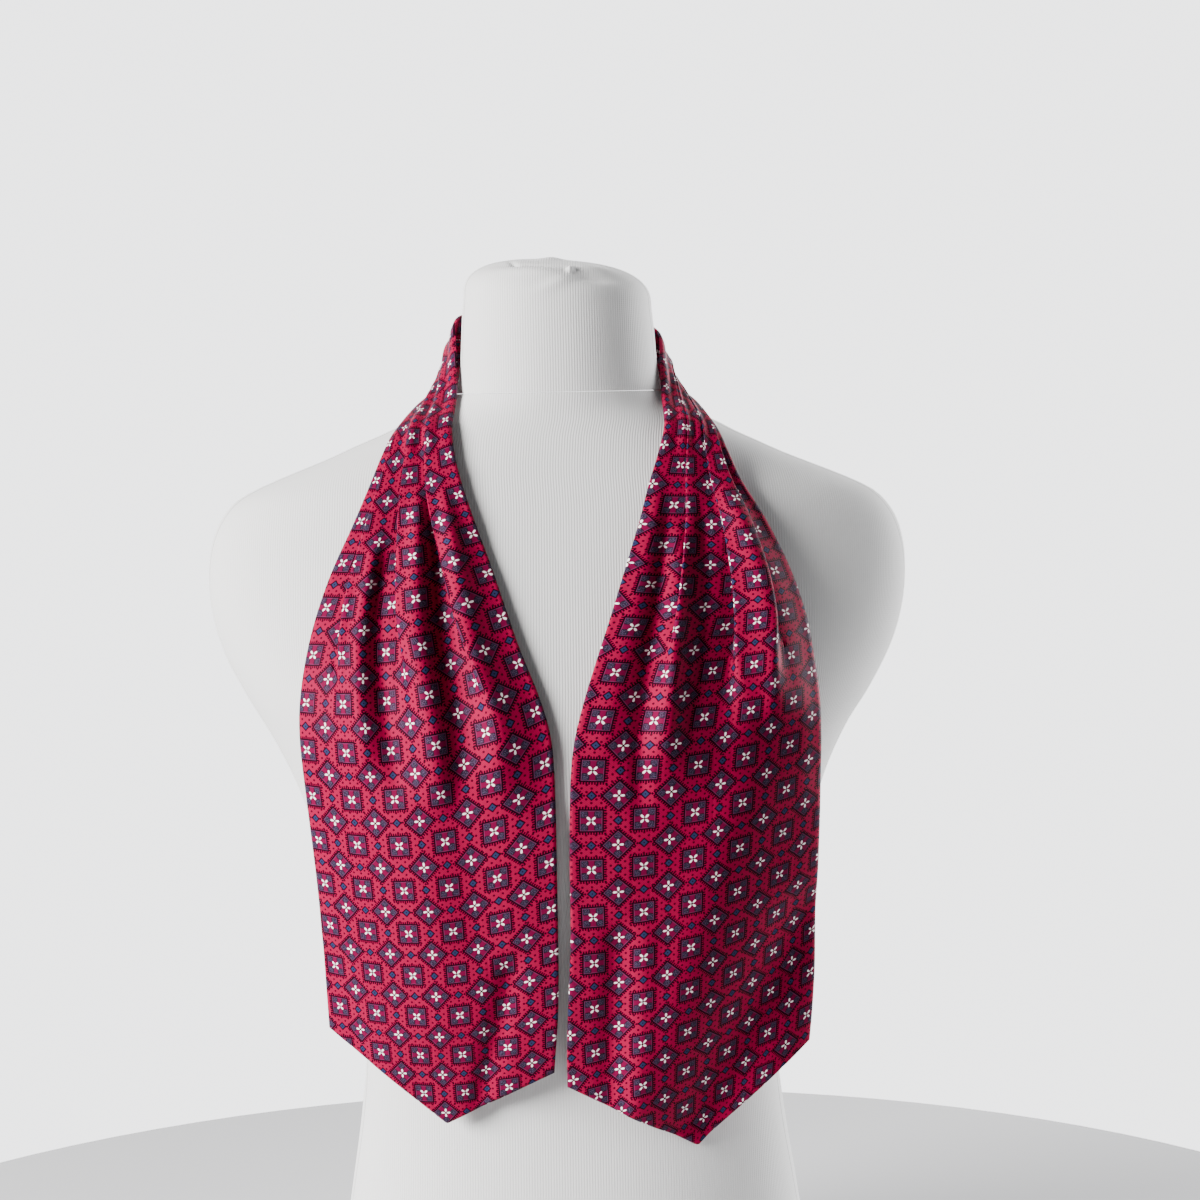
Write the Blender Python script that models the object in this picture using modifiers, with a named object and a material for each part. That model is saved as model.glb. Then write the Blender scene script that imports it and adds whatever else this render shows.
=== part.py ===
"""A pleated day cravat of printed silk, hung untied round the neck of a limbless dress form.

Run it with: blender --background --python part.py

The model is in metres with +Z up and its front towards -Y. The tables below are in
millimetres and are scaled where the points are made. Left and right are as seen from
the front, so the left half lies at -X. The finished model's origin is on the form's flat
base, at the middle of the whole outline seen from above.
"""

import math
from collections import namedtuple

import bmesh
import bpy
from mathutils import Vector

MM = 0.001

# Walls, gaps and mesh densities
BLADE_WALL = 1.6
BAND_WALL = 1.8
SEAM_GAP = 0.3
CLOTH_SHARP_DEGREES = 60
FORM_SHARP_DEGREES = 50
CLOTH_CLEARANCE = 4.0
BLADE_ROWS = 34
BAND_ROWS = 15
RING_POINTS = 44
TALLEST_RING_STEP = 19.0

# The middle of the whole outline seen from above, in the tables' own frame. It becomes the origin.
OUTLINE_MIDDLE = Vector((-3.5, -8.25, 0.0))

# The flat cut of one blade, pleated into the neck band where the stitching ends
BLADE_WIDTH = 160.0
STITCH_END_Z = 536.0
BAND_END_Z = STITCH_END_Z + SEAM_GAP
BAND_LENGTH = 205.0
BAND_OVERRUN = 20.0
BAND_JOIN_STARTS = 0.85

# The dress form: its sections are rounded boxes, and the neck leans forwards
SECTION_POWER = 2.25
NECK_SEAM_Z = 587.0
NECK_LEAN = math.tan(math.radians(5.5))
NECK_LEAN_STARTS_Z = 548.0
CAP_DOME_Z = 646.0
CAP_TOP_Z = 673.0
CAP_DOME_POWER = 2.6
CAP_SIDE_LEAN = math.tan(math.radians(4.0))
CAP_SIDE_LEAN_STARTS_Z = 605.0
CAP_DOME_STEPS = 6

FormRing = namedtuple("FormRing", "z half_width front back middle shift")
TORSO_RINGS = (
    FormRing(0, 156, -86, 120, 12, 0),
    FormRing(72, 145, -78, 106, 12, 0),
    FormRing(120, 138, -71, 95, 12, 0),
    FormRing(165, 134, -77, 90, 10, 0),
    FormRing(205, 138, -91, 88, 8, 0),
    FormRing(250, 148, -106, 88, 6, -1),
    FormRing(300, 160, -122, 91, 4, -2.5),
    FormRing(336, 171, -128, 95, 2, -3.5),
    FormRing(367, 186, -129, 98, 2, -4),
    FormRing(392, 202, -123, 102, 3, -3.5),
    FormRing(420, 217, -111, 105, 5, -3.5),
    FormRing(446, 225, -99, 106, 7, -3.5),
    FormRing(472, 227.5, -87, 105, 9, -3.5),
    FormRing(492, 225.5, -78, 103, 11, -3.5),
    FormRing(507, 219.5, -72, 101, 12, -3.5),
    FormRing(519, 209, -67, 98, 13, -4),
    FormRing(528, 192, -63, 95, 14, -4.5),
    FormRing(537, 170, -60, 92, 14, -4.5),
    FormRing(545, 150, -57, 89, 14, -4),
    FormRing(553, 132.5, -54, 86, 14, -3.5),
    FormRing(560, 117, -52, 83, 14, -2.5),
    FormRing(566, 105, -51, 80, 13, -1.5),
    FormRing(572, 92, -50, 77, 12, -1),
    FormRing(579, 78, -50, 74, 11, -0.5),
    FormRing(NECK_SEAM_Z, 68.5, -50, 71, 10, 0),
)
CAP_RINGS = (
    FormRing(NECK_SEAM_Z, 68.5, -50, 71, 10, 0),
    FormRing(597, 65.5, -50, 69, 9, 0),
    FormRing(611, 64, -50, 67, 8, 0),
    FormRing(628, 63, -50, 66, 8, 0),
    FormRing(CAP_DOME_Z, 61.5, -49, 65, 8, 0),
)

# The surface that the blades hang on: over the chest it clears the form, below it hangs free
DrapeRing = namedtuple("DrapeRing", "z half_width front")
DRAPE_POWER = 2.3
DRAPE_BLEND = 3.0
DRAPE_RINGS = (
    DrapeRing(100, 176, 71),
    DrapeRing(130, 176, 80),
    DrapeRing(160, 177, 89.5),
    DrapeRing(190, 178, 98.5),
    DrapeRing(235, 180, 111),
    DrapeRing(280, 184, 123.5),
    DrapeRing(308, 189, 129.5),
    DrapeRing(340, 197, 133.5),
    DrapeRing(367, 205, 134),
    DrapeRing(392, 213, 128),
    DrapeRing(420, 220, 117),
    DrapeRing(460, 222, 99),
    DrapeRing(500, 214, 80),
    DrapeRing(545, 160, 63),
)

# The two long edges of each blade seen from the front, as distances from the middle line
Rail = namedtuple("Rail", "z inner outer")
LEFT_RAILS = (
    Rail(120, 13, 147.5),
    Rail(168, 9, 149.5),
    Rail(209, 5.9, 151),
    Rail(272, 5, 153.5),
    Rail(332, 4.9, 158),
    Rail(367, 6.5, 160.5),
    Rail(391, 12.7, 160),
    Rail(421, 24.6, 155.5),
    Rail(445, 33, 149.5),
    Rail(470, 41.5, 141),
    Rail(500, 52.5, 128),
    Rail(524, 60.5, 118.5),
    Rail(545, 66, 111),
)
RIGHT_RAILS = (
    Rail(100, -1, 140),
    Rail(168, -1.2, 149.5),
    Rail(213, 0.9, 153.5),
    Rail(246, 2.8, 154.5),
    Rail(302, 3.5, 156.2),
    Rail(344, 4.9, 157.2),
    Rail(367, 7.7, 157.5),
    Rail(391, 14, 156.8),
    Rail(414, 21.6, 154),
    Rail(438, 29.9, 150.5),
    Rail(468, 39.7, 141.5),
    Rail(499, 49.7, 127.5),
    Rail(524, 56.8, 113.5),
    Rail(545, 64, 105.5),
)

# The pointed lower edge of each blade
Hem = namedtuple("Hem", "inner_corner_z tip_across tip_z outer_corner_z")
LEFT_HEM = Hem(161.5, 0.475, 128, 186)
RIGHT_HEM = Hem(152, 0.56, 109, 172)

# Folds across the flat cloth, from the inner edge. A pleat hides the cloth between two
# rows that are marked hidden, and height says how far each fold line stands up.
PleatEdge = namedtuple("PleatEdge", "flat height hidden")
LEFT_PLEATS = (
    PleatEdge(0, 0.35, False),
    PleatEdge(25, 1.0, True),
    PleatEdge(61, 0.0, False),
    PleatEdge(75, 1.0, True),
    PleatEdge(111, 0.0, False),
    PleatEdge(123, 0.9, True),
    PleatEdge(156, 0.0, False),
    PleatEdge(BLADE_WIDTH, 0.0, False),
)
RIGHT_PLEATS = (
    PleatEdge(0, 0.45, False),
    PleatEdge(24, 0.0, True),
    PleatEdge(60, 1.0, False),
    PleatEdge(74, 0.0, True),
    PleatEdge(110, 1.0, False),
    PleatEdge(122, 0.9, True),
    PleatEdge(156, 0.0, False),
    PleatEdge(BLADE_WIDTH, 0.1, False),
)

# How far the pleats have opened, and how deep their folds are, down the blade
PleatState = namedtuple("PleatState", "z opening depth")
PLEAT_STATES = (
    PleatState(100, 1.0, 0.0),
    PleatState(340, 1.0, 0.0),
    PleatState(367, 0.99, 0.8),
    PleatState(391, 0.95, 2.2),
    PleatState(421, 0.77, 4.2),
    PleatState(445, 0.6, 5.6),
    PleatState(470, 0.45, 5.8),
    PleatState(500, 0.26, 4.2),
    PleatState(520, 0.16, 2.8),
    PleatState(545, 0.1, 1.7),
)
BAND_PLEAT_DEPTH = 1.0

# Long soft folds low on the blades, from one place on the cloth to another
SoftFold = namedtuple("SoftFold", "top_across top_z bottom_across bottom_z half_width height")
LEFT_FOLDS = (
    SoftFold(0.96, 330, 0.78, 185, 11, -3.0),
    SoftFold(0.30, 300, 0.40, 150, 20, 2.2),
    SoftFold(0.62, 400, 0.70, 260, 18, 2.4),
)
RIGHT_FOLDS = (
    SoftFold(0.52, 260, 0.62, 118, 17, -3.4),
    SoftFold(0.92, 290, 0.80, 160, 13, 2.6),
    SoftFold(0.28, 400, 0.34, 240, 20, 2.4),
)
FOLD_END_FADE = 0.22

# The pleated band from the middle of the nape to the blade, its two edges in space
BandStation = namedtuple("BandStation", "along inner outer bow")
LEFT_BAND = (
    BandStation(0.00, (0, 74, 643), (0, 85, 600), 0.0),
    BandStation(0.22, (45, 59, 642), (55, 68, 597), 1.0),
    BandStation(0.42, (68, 28, 636), (77, 36, 593), 1.0),
    BandStation(0.60, (69.5, -1, 612), (87, 7, 582), 2.0),
    BandStation(0.76, (69, -27, 583), (101, -11, 572), 3.0),
    BandStation(0.89, (68, -51, 560), (109, -37, 556), 3.5),
)
RIGHT_BAND = (
    BandStation(0.00, (0, 74, 643), (0, 85, 600), 0.0),
    BandStation(0.22, (44, 59, 640), (54, 68, 595), 1.0),
    BandStation(0.42, (66, 28, 629), (75, 35, 587), 1.0),
    BandStation(0.60, (68.5, -1, 606), (85, 7, 580), 2.0),
    BandStation(0.76, (69, -27, 581), (97, -11, 572), 3.0),
    BandStation(0.89, (67, -51, 559), (104, -37, 557), 3.5),
)

# Colour and roughness of each finish
FINISHES = {
    "silk_crimson": ((0.46, 0.018, 0.060, 1.0), 0.42),
    "jersey_white": ((0.78, 0.77, 0.77, 1.0), 0.85),
}


def table_values(rows, position):
    """All columns of a table at a place between its rows, on one smooth curve through them."""
    places = [row[0] for row in rows]
    position = min(max(position, places[0]), places[-1])
    last = len(rows) - 1
    low = max(i for i in range(last) if places[i] <= position)
    high = low + 1
    span = places[high] - places[low]
    part = (position - places[low]) / span
    before = max(low - 1, 0)
    after = min(high + 1, last)
    values = []
    for column in range(1, len(rows[0])):
        start = rows[low][column]
        end = rows[high][column]
        leave = (end - rows[before][column]) / (places[high] - places[before]) * span
        arrive = (rows[after][column] - start) / (places[after] - places[low]) * span
        values.append(hermite(start, end, leave, arrive, part))
    return values


def hermite(start, end, leave, arrive, part):
    """A cubic from start to end, with its slope given at both ends."""
    square = part * part
    cube = square * part
    return (
        start * (2 * cube - 3 * square + 1)
        + leave * (cube - 2 * square + part)
        + end * (3 * square - 2 * cube)
        + arrive * (cube - square)
    )


def smoothstep(value):
    value = min(max(value, 0.0), 1.0)
    return value * value * (3 - 2 * value)


def signed_power(value, power):
    return math.copysign(abs(value) ** power, value)


def neck_lean(z):
    """Rise of a section for each unit towards the back, nothing below the neck."""
    return NECK_LEAN * smoothstep((z - NECK_LEAN_STARTS_Z) / (NECK_SEAM_Z - NECK_LEAN_STARTS_Z))


def cap_side_lean(z):
    """Fall of a section for each unit to the right, nothing below the cap."""
    share = (z - CAP_SIDE_LEAN_STARTS_Z) / (CAP_DOME_Z - CAP_SIDE_LEAN_STARTS_Z)
    return CAP_SIDE_LEAN * smoothstep(share)


def form_point(ring, angle):
    """A point of the dress form on one section, by its angle round the middle."""
    across = signed_power(math.cos(angle), 2 / SECTION_POWER)
    along = signed_power(math.sin(angle), 2 / SECTION_POWER)
    depth = ring.back - ring.middle if along > 0 else ring.middle - ring.front
    x = ring.shift + ring.half_width * across
    y = ring.middle + depth * along
    z = ring.z + neck_lean(ring.z) * (y - ring.middle) - cap_side_lean(ring.z) * x
    return Vector((x, y, z))


def form_front(x, z):
    """How far in front of the origin the form stands at a place of its front."""
    half_width, front, _, middle, shift = table_values(TORSO_RINGS, z)
    inside = max(1 - abs((x - shift) / half_width) ** SECTION_POWER, 0.0)
    return (middle - front) * inside ** (1 / SECTION_POWER) - middle


def drape_front(x, z):
    """How far in front of the middle plane the hanging cloth stands, clear of the form."""
    half_width, front = table_values(DRAPE_RINGS, z)
    inside = max(1 - abs(x / half_width) ** DRAPE_POWER, 0.0)
    hanging = front * inside ** (1 / DRAPE_POWER)
    resting = form_front(x, z) + CLOTH_CLEARANCE
    return (hanging + resting + math.hypot(hanging - resting, DRAPE_BLEND)) / 2


def pleat_opening(z):
    return table_values(PLEAT_STATES, z)[0]


def pleat_depth(z):
    return table_values(PLEAT_STATES, z)[1]


def visible_width(pleats, flat, opening):
    """How wide the cloth up to this place lies once its pleats are this far open."""
    width = flat
    for edge, following in zip(pleats, pleats[1:]):
        if edge.hidden:
            folded = min(max(flat - edge.flat, 0), following.flat - edge.flat)
            width -= folded * (1 - opening)
    return width


def across_share(pleats, flat, z):
    """Place across the blade, 0 at the inner edge and 1 at the outer one."""
    opening = pleat_opening(z)
    return visible_width(pleats, flat, opening) / visible_width(pleats, BLADE_WIDTH, opening)


def pleat_height(pleats, flat):
    """Height of the folds at a place of the flat cloth, from 0 in a trough to 1 on a fold."""
    for edge, following in zip(pleats, pleats[1:]):
        if flat <= following.flat:
            part = smoothstep((flat - edge.flat) / (following.flat - edge.flat))
            return edge.height + part * (following.height - edge.height)
    return pleats[-1].height


def flat_columns(pleats):
    """The mesh columns across the flat cloth: each fold line, and even steps between them."""
    columns = [0.0]
    for edge, following in zip(pleats, pleats[1:]):
        steps = max(1, round((following.flat - edge.flat) / 7.5))
        for step in range(1, steps + 1):
            columns.append(edge.flat + (following.flat - edge.flat) * step / steps)
    return columns


def soft_fold_height(folds, across, z):
    """Sum of the long soft folds at a place of the blade."""
    height = 0.0
    for fold in folds:
        along = (fold.top_z - z) / (fold.top_z - fold.bottom_z)
        fade = smoothstep(along / FOLD_END_FADE) * smoothstep((1.25 - along) / FOLD_END_FADE)
        middle = fold.top_across + along * (fold.bottom_across - fold.top_across)
        distance = (across - middle) * BLADE_WIDTH / fold.half_width
        height += fold.height * fade * math.exp(-distance * distance)
    return height


def hem_z(hem, across):
    """Height of the pointed lower edge."""
    if across < hem.tip_across:
        part = across / hem.tip_across
        return hem.inner_corner_z + part * (hem.tip_z - hem.inner_corner_z)
    part = (across - hem.tip_across) / (1 - hem.tip_across)
    return hem.tip_z + part * (hem.outer_corner_z - hem.tip_z)


def blade_point(half, flat, z):
    """A point of the middle of the blade's wall, by its place on the cloth and its height."""
    across = across_share(half.pleats, flat, z)
    inner, outer = table_values(half.rails, z)
    x = half.side * (inner + across * (outer - inner))
    folds = pleat_depth(z) * pleat_height(half.pleats, flat)
    folds += soft_fold_height(half.folds, across, z)
    return Vector((x, -drape_front(x, z) - folds, z))


def band_stations(half):
    """The band's stations as rows of plain numbers, with one more past each of its ends.

    The one before the nape mirrors the first, so that the two bands meet square there.
    The last two lie on the blade, so that the band runs into it without a kink.
    """
    stations = [(row.along, *row.inner, *row.outer, row.bow) for row in half.band]
    along, inner_x, inner_y, inner_z, outer_x, outer_y, outer_z, bow = stations[1]
    stations.insert(0, (-along, -inner_x, inner_y, inner_z, -outer_x, outer_y, outer_z, bow))
    for along, z in ((1.0, BAND_END_Z), (1.0 + BAND_OVERRUN / BAND_LENGTH, BAND_END_Z - BAND_OVERRUN)):
        inner = blade_point(half, 0.0, z)
        outer = blade_point(half, BLADE_WIDTH, z)
        bow = (inner.y + outer.y) / 2 + drape_front((inner.x + outer.x) / 2, z)
        stations.append((along, abs(inner.x), inner.y, z, abs(outer.x), outer.y, z, bow))
    return stations


def band_line(half, stations, along):
    """Inner edge, outer edge and bow of the band at a share of its length."""
    inner_x, inner_y, inner_z, outer_x, outer_y, outer_z, bow = table_values(stations, along)
    inner = Vector((half.side * inner_x, inner_y, inner_z))
    outer = Vector((half.side * outer_x, outer_y, outer_z))
    return inner, outer, bow


def band_outward(half, stations, along):
    """The direction away from the neck, which turns to straight forwards at the blade."""
    step = 0.01
    inner, outer, _ = band_line(half, stations, along)
    inner_before, outer_before, _ = band_line(half, stations, along - step)
    inner_after, outer_after, _ = band_line(half, stations, along + step)
    onwards = inner_after + outer_after - inner_before - outer_before
    outward = (outer - inner).cross(onwards).normalized() * -half.side
    return outward.lerp(Vector((0, -1, 0)), joining(along)).normalized()


def joining(along):
    """0 along the band and 1 at its end, over the stretch where it turns into the blade."""
    return smoothstep((along - BAND_JOIN_STARTS) / (1 - BAND_JOIN_STARTS))


def band_point(half, stations, flat, along):
    """A point of the middle of the band's wall."""
    inner, outer, bow = band_line(half, stations, along)
    across = across_share(half.pleats, flat, BAND_END_Z)
    edge_height = half.pleats[0].height * (1 - across) + half.pleats[-1].height * across
    depth = BAND_PLEAT_DEPTH + joining(along) * (pleat_depth(BAND_END_Z) - BAND_PLEAT_DEPTH)
    rise = bow * 4 * across * (1 - across)
    rise += depth * (pleat_height(half.pleats, flat) - edge_height)
    return inner.lerp(outer, across) + band_outward(half, stations, along) * rise


def principled(name):
    """A plain material with the colour and roughness of one finish."""
    colour, roughness = FINISHES[name]
    material = bpy.data.materials.new(name)
    material.use_nodes = True
    shader = material.node_tree.nodes["Principled BSDF"]
    shader.inputs["Base Color"].default_value = colour
    shader.inputs["Roughness"].default_value = roughness
    shader.inputs["Metallic"].default_value = 0.0
    material.diffuse_color = colour
    return material


def grid_mesh(columns, rows, place):
    """A sheet of columns by rows of faces, each of its points put where place says."""
    mesh = bmesh.new()
    bmesh.ops.create_grid(mesh, x_segments=columns, y_segments=rows, size=0.5)
    for vertex in mesh.verts:
        column = round((vertex.co.x + 0.5) * columns)
        row = round((vertex.co.y + 0.5) * rows)
        vertex.co = (place(column, row) - OUTLINE_MIDDLE) * MM
    return mesh


def finish_object(name, mesh, finish, collection, sharp_degrees):
    """Turns a finished bmesh into a named object with its own material."""
    data = bpy.data.meshes.new(name)
    mesh.to_mesh(data)
    mesh.free()
    data.shade_smooth()
    data.set_sharp_from_angle(angle=math.radians(sharp_degrees))
    piece = bpy.data.objects.new(name, data)
    data.materials.append(principled(finish))
    collection.objects.link(piece)
    return piece


def add_wall(piece, wall):
    """Gives an open sheet its thickness, half to each side."""
    solidify = piece.modifiers.new("cloth wall", "SOLIDIFY")
    solidify.thickness = wall * MM
    solidify.offset = 0.0
    solidify.use_even_offset = True


def build_cloth(name, half, wall, rows, place, collection):
    """One stretch of the cravat: place gives the point at a flat width and a row share."""
    columns = flat_columns(half.pleats)
    mesh = grid_mesh(
        len(columns) - 1,
        rows,
        lambda column, row: place(columns[column], row / rows),
    )
    if half.side < 0:
        bmesh.ops.reverse_faces(mesh, faces=mesh.faces)
    piece = finish_object(name, mesh, "silk_crimson", collection, CLOTH_SHARP_DEGREES)
    add_wall(piece, wall)


def build_blade(half, collection):
    """The broad end from the stitching down to its pointed hem."""

    def place(flat, share):
        bottom = hem_z(half.hem, across_share(half.pleats, flat, half.hem.tip_z))
        return blade_point(half, flat, bottom + share * (STITCH_END_Z - bottom))

    build_cloth(f"blade_{half.name}", half, BLADE_WALL, BLADE_ROWS, place, collection)


def build_band(half, collection):
    """The stitched stretch from the blade up and round to the middle of the nape."""
    stations = band_stations(half)

    def place(flat, share):
        point = band_point(half, stations, flat, 1 - share)
        gap = SEAM_GAP / 2 * max(0.0, 1 - (1 - share) * BAND_ROWS)
        return point + Vector((half.side * gap, 0, 0))

    build_cloth(f"neck_band_{half.name}", half, BAND_WALL, BAND_ROWS, place, collection)


def filled_rings(rings):
    """More rings between those of a table, so that no step is tall."""
    filled = [rings[0]]
    for ring, following in zip(rings, rings[1:]):
        steps = math.ceil((following.z - ring.z) / TALLEST_RING_STEP)
        for step in range(1, steps + 1):
            z = ring.z + (following.z - ring.z) * step / steps
            filled.append(FormRing(z, *table_values(rings, z)))
    return filled


def dome_rings():
    """Rings from the top of the neck's side up over the rounded cap."""
    rim = CAP_RINGS[-1]
    rings = []
    for step in range(1, CAP_DOME_STEPS + 1):
        angle = math.pi / 2 * step / CAP_DOME_STEPS
        shrink = abs(math.cos(angle)) ** (2 / CAP_DOME_POWER) if step < CAP_DOME_STEPS else 0.0
        rise = math.sin(angle) ** (2 / CAP_DOME_POWER)
        rings.append(
            FormRing(
                CAP_DOME_Z + rise * (CAP_TOP_Z - CAP_DOME_Z),
                rim.half_width * shrink,
                rim.middle + (rim.front - rim.middle) * shrink,
                rim.middle + (rim.back - rim.middle) * shrink,
                rim.middle,
                rim.shift,
            )
        )
    return rings


def build_form(name, rings, lift, collection):
    """A closed solid through rings, lifted a little where it meets the one below."""

    def place(column, row):
        angle = 2 * math.pi * (column % RING_POINTS) / RING_POINTS
        return form_point(rings[row], angle) + Vector((0, 0, lift))

    mesh = grid_mesh(RING_POINTS, len(rings) - 1, place)
    bmesh.ops.remove_doubles(mesh, verts=mesh.verts, dist=0.00001)
    bmesh.ops.holes_fill(mesh, edges=[edge for edge in mesh.edges if edge.is_boundary])
    bmesh.ops.recalc_face_normals(mesh, faces=mesh.faces)
    finish_object(name, mesh, "jersey_white", collection, FORM_SHARP_DEGREES)


def clear_scene():
    for old in list(bpy.data.objects):
        bpy.data.objects.remove(old, do_unlink=True)


def main():
    clear_scene()
    collection = bpy.data.collections.new("cravat on a dress form")
    bpy.context.scene.collection.children.link(collection)
    build_form("form_torso", filled_rings(TORSO_RINGS), 0.0, collection)
    build_form("form_neck_cap", filled_rings(CAP_RINGS) + dome_rings(), SEAM_GAP, collection)
    for half in HALVES:
        build_band(half, collection)
        build_blade(half, collection)


Half = namedtuple("Half", "name side rails hem pleats folds band")
HALVES = (
    Half("left", -1, LEFT_RAILS, LEFT_HEM, LEFT_PLEATS, LEFT_FOLDS, LEFT_BAND),
    Half("right", 1, RIGHT_RAILS, RIGHT_HEM, RIGHT_PLEATS, RIGHT_FOLDS, RIGHT_BAND),
)

main()
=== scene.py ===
"""The looks of a pleated silk day cravat that hangs untied round the neck of a limbless dress form.

The file is laid out as an add-on and run as a script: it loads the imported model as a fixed
frame, lays the printed silk and the knitted cover of the form over it, and adds a floor,
studio lights and a camera. The tables are in millimetres and repeat the construction's own,
so that each finished piece lies where its solid is. Left and right are as seen from the front.
"""

import math
from collections import namedtuple

import bmesh
import bpy
import numpy as np
from bpy.props import FloatProperty, FloatVectorProperty, IntProperty, PointerProperty
from mathutils import Matrix, Vector


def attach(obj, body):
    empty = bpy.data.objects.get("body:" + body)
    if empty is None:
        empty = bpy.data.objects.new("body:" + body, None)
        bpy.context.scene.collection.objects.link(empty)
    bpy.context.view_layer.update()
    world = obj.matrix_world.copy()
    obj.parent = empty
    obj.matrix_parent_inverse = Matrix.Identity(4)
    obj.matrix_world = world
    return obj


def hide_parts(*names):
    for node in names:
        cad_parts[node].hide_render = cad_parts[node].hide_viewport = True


bl_info = {
    "name": "Day cravat on a dress form",
    "version": (1, 0, 0),
    "blender": (4, 5, 0),
    "location": "View3D > Sidebar > Cravat",
    "description": "Adds a pleated silk cravat, the dress form that it hangs on, and a small studio",
    "category": "Add Mesh",
}

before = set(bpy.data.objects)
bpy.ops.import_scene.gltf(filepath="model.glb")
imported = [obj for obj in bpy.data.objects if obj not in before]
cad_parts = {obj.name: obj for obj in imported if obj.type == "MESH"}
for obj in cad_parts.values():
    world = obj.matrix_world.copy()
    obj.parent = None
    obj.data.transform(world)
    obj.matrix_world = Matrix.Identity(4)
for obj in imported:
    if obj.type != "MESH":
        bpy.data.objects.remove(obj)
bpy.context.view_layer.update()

MM = 0.001
OUTLINE_MIDDLE = Vector((-3.5, -8.25, 0.0))

# The flat cut of one blade, and the seam where its stitched pleats end
BLADE_WIDTH = 160.0
STITCH_END_Z = 536.0
BAND_END_Z = 536.3
BAND_LENGTH = 205.0
BAND_OVERRUN = 20.0
BAND_JOIN_STARTS = 0.85
NAPE_GAP = 0.3
NAPE_GAP_FADE = 15.0


def table(kind, *rows):
    """Rows of plain numbers, each under the names of its columns."""
    return tuple(kind(*row) for row in rows)


# The dress form: its sections are rounded boxes, and the neck leans forwards
SECTION_POWER = 2.25
NECK_SEAM_Z = 587.0
NECK_LEAN = math.tan(math.radians(5.5))
NECK_LEAN_STARTS_Z = 548.0
CAP_DOME_Z = 646.0
CAP_TOP_Z = 673.0
CAP_DOME_POWER = 2.6
CAP_SIDE_LEAN = math.tan(math.radians(4.0))
CAP_SIDE_LEAN_STARTS_Z = 605.0
CAP_LIFT = 0.3

FormRing = namedtuple("FormRing", "z half_width front back middle shift")
TORSO_RINGS = table(
    FormRing,
    (0, 156, -86, 120, 12, 0),
    (72, 145, -78, 106, 12, 0),
    (120, 138, -71, 95, 12, 0),
    (165, 134, -77, 90, 10, 0),
    (205, 138, -91, 88, 8, 0),
    (250, 148, -106, 88, 6, -1),
    (300, 160, -122, 91, 4, -2.5),
    (336, 171, -128, 95, 2, -3.5),
    (367, 186, -129, 98, 2, -4),
    (392, 202, -123, 102, 3, -3.5),
    (420, 217, -111, 105, 5, -3.5),
    (446, 225, -99, 106, 7, -3.5),
    (472, 227.5, -87, 105, 9, -3.5),
    (492, 225.5, -78, 103, 11, -3.5),
    (507, 219.5, -72, 101, 12, -3.5),
    (519, 209, -67, 98, 13, -4),
    (528, 192, -63, 95, 14, -4.5),
    (537, 170, -60, 92, 14, -4.5),
    (545, 150, -57, 89, 14, -4),
    (553, 132.5, -54, 86, 14, -3.5),
    (560, 117, -52, 83, 14, -2.5),
    (566, 105, -51, 80, 13, -1.5),
    (572, 92, -50, 77, 12, -1),
    (579, 78, -50, 74, 11, -0.5),
    (NECK_SEAM_Z, 68.5, -50, 71, 10, 0),
)
CAP_RINGS = table(
    FormRing,
    (NECK_SEAM_Z, 68.5, -50, 71, 10, 0),
    (597, 65.5, -50, 69, 9, 0),
    (611, 64, -50, 67, 8, 0),
    (628, 63, -50, 66, 8, 0),
    (CAP_DOME_Z, 61.5, -49, 65, 8, 0),
)

# The surface that the blades hang on: over the chest it clears the form, below it hangs free
DrapeRing = namedtuple("DrapeRing", "z half_width front")
DRAPE_POWER = 2.3
DRAPE_BLEND = 3.0
CLOTH_CLEARANCE = 4.0
LEAST_CLEARANCE = 3.6
LEAST_CLEARANCE_BLEND = 0.8
DRAPE_RINGS = table(
    DrapeRing,
    (100, 176, 71),
    (130, 176, 80),
    (160, 177, 89.5),
    (190, 178, 98.5),
    (235, 180, 111),
    (280, 184, 123.5),
    (308, 189, 129.5),
    (340, 197, 133.5),
    (367, 205, 134),
    (392, 213, 128),
    (420, 220, 117),
    (460, 222, 99),
    (500, 214, 80),
    (545, 160, 63),
)

# The two long edges of each blade seen from the front, as distances from the middle line
Rail = namedtuple("Rail", "z inner outer")
LEFT_RAILS = table(
    Rail,
    (120, 13, 147.5),
    (168, 9, 149.5),
    (209, 5.9, 151),
    (272, 5, 153.5),
    (332, 4.9, 158),
    (367, 6.5, 160.5),
    (391, 12.7, 160),
    (421, 24.6, 155.5),
    (445, 33, 149.5),
    (470, 41.5, 141),
    (500, 52.5, 128),
    (524, 60.5, 118.5),
    (545, 66, 111),
)
RIGHT_RAILS = table(
    Rail,
    (100, -1, 140),
    (168, -1.2, 149.5),
    (213, 0.9, 153.5),
    (246, 2.8, 154.5),
    (302, 3.5, 156.2),
    (344, 4.9, 157.2),
    (367, 7.7, 157.5),
    (391, 14, 156.8),
    (414, 21.6, 154),
    (438, 29.9, 150.5),
    (468, 39.7, 141.5),
    (499, 49.7, 127.5),
    (524, 56.8, 113.5),
    (545, 64, 105.5),
)

# The pointed lower edge of each blade
Hem = namedtuple("Hem", "inner_corner_z tip_across tip_z outer_corner_z")
LEFT_HEM = Hem(161.5, 0.475, 128, 186)
RIGHT_HEM = Hem(152, 0.56, 109, 172)

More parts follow.
